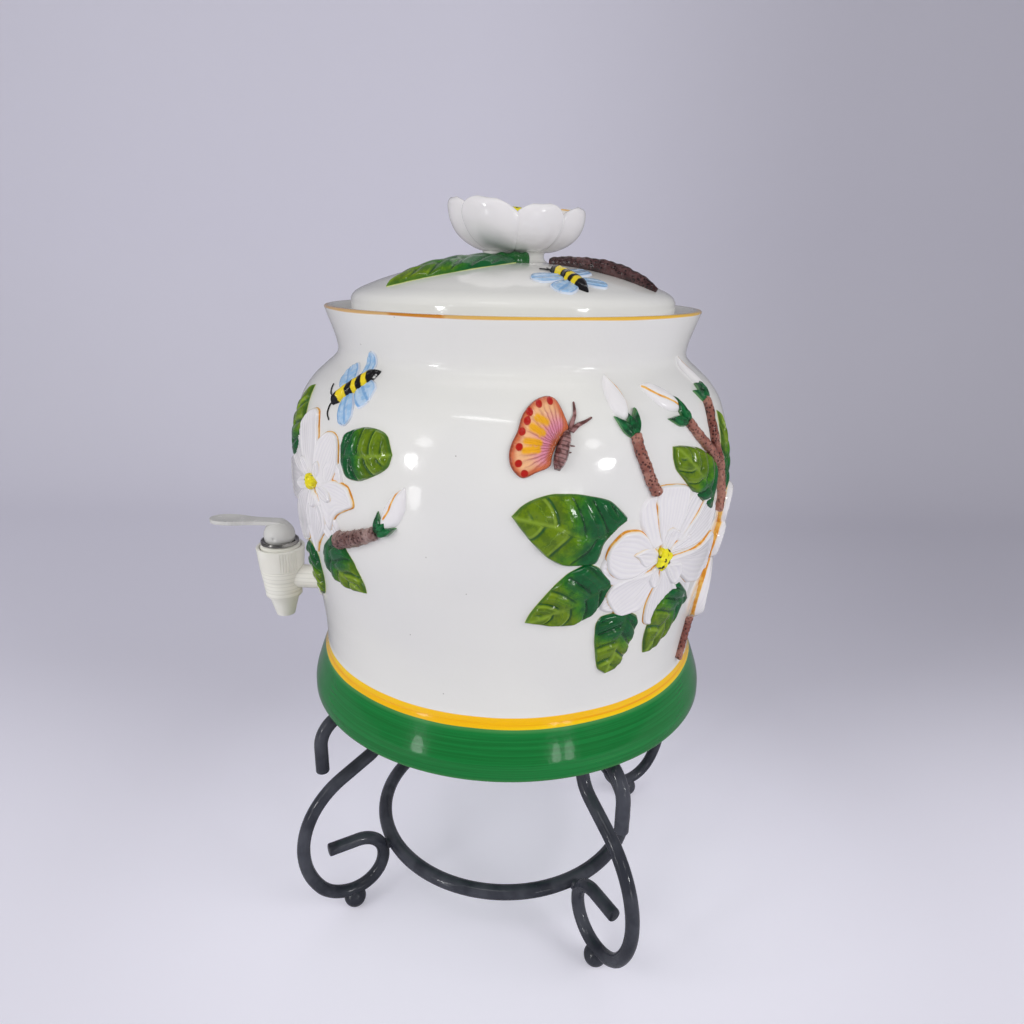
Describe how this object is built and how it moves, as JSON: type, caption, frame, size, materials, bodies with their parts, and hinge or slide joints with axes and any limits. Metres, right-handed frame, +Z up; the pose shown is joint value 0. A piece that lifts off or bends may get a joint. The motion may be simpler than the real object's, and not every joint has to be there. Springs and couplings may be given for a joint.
{
  "type": "clay water pot with tap",
  "caption": "Glazed clay water pot with flowers in relief, a loose lid with a flower knob and a plastic lever tap, on a black scrolled iron stand.",
  "frame": {"origin": "on the pot's axis at floor level", "axes": "+Z up along the pot's axis, the tap facing -Y, the pictured flowers facing +X"},
  "size_m": [0.2655, 0.339, 0.4551],
  "materials": {
    "white_glaze": "gloss glaze",
    "petal_glaze": "gloss glaze",
    "leaf_glaze": "gloss glaze",
    "twig_glaze": "gloss glaze",
    "butterfly_glaze": "gloss glaze",
    "bee_glaze": "gloss glaze",
    "black_iron": "gloss black",
    "tap_plastic": "satin",
    "lever_plastic": "satin",
    "steel": "brushed",
    "silicone": "matte"
  },
  "bodies": {
    "stand": {"leg_1": "black_iron", "leg_2": "black_iron", "leg_3": "black_iron", "leg_4": "black_iron", "ball_foot_1": "black_iron", "ball_foot_2": "black_iron", "ball_foot_3": "black_iron", "ball_foot_4": "black_iron", "lower_ring": "black_iron", "upper_ring": "black_iron"},
    "pot": {"crock": "white_glaze", "main_flower": "petal_glaze", "side_flower": "petal_glaze", "left_flower": "petal_glaze", "twig_main": "twig_glaze", "twig_bud_a": "twig_glaze", "twig_bud_b": "twig_glaze", "twig_low": "twig_glaze", "twig_left": "twig_glaze", "leaf_great": "leaf_glaze", "leaf_second": "leaf_glaze", "leaf_third": "leaf_glaze", "leaf_small": "leaf_glaze", "leaf_upper": "leaf_glaze", "leaf_edge": "leaf_glaze", "leaf_round": "leaf_glaze", "leaf_shoulder": "leaf_glaze", "leaf_hanging": "leaf_glaze", "leaf_narrow": "leaf_glaze", "leaf_back_low": "leaf_glaze", "leaf_back_high": "leaf_glaze", "bud_a": "petal_glaze", "bud_b": "petal_glaze", "bud_c": "petal_glaze", "bud_left": "petal_glaze", "butterfly": "butterfly_glaze", "bee": "bee_glaze", "tap_body": "tap_plastic", "bonnet": "tap_plastic", "wear_ring": "steel", "outer_washer": "silicone", "inner_washer": "silicone", "back_nut": "tap_plastic", "return_spring": "steel"},
    "cover": {"lid": "white_glaze", "lid_flower_knob": "petal_glaze", "lid_leaf": "leaf_glaze", "lid_twig": "twig_glaze", "lid_bee": "bee_glaze"},
    "valve": {"stem": "tap_plastic", "seat_cup": "silicone", "lever_pin": "steel"},
    "handle": {"lever": "lever_plastic"}
  },
  "joints": [
    {"name": "crock_lift", "type": "slide", "parent": "stand", "child": "pot", "axis": [0, 0, 1], "range_m": [0, 0.08]},
    {"name": "lid_lift", "type": "slide", "parent": "pot", "child": "cover", "axis": [0, 0, 1], "range_m": [0, 0.06]},
    {"name": "stem_rise", "type": "slide", "parent": "pot", "child": "valve", "axis": [0, 0, 1], "range_m": [0, 0.003], "deforming": ["return_spring"]},
    {"name": "lever_press", "type": "hinge", "parent": "valve", "child": "handle", "pos_m": [0, -0.1565, 0.24326], "axis": [1, 0, 0], "range_deg": [0, 30], "stiffness_Nm_per_rad": 0.01, "springref_deg": -34.38}
  ],
  "couplings": [
    {"joint": "stem_rise", "follows": "lever_press", "m_per_rad": 0.00572}
  ]
}
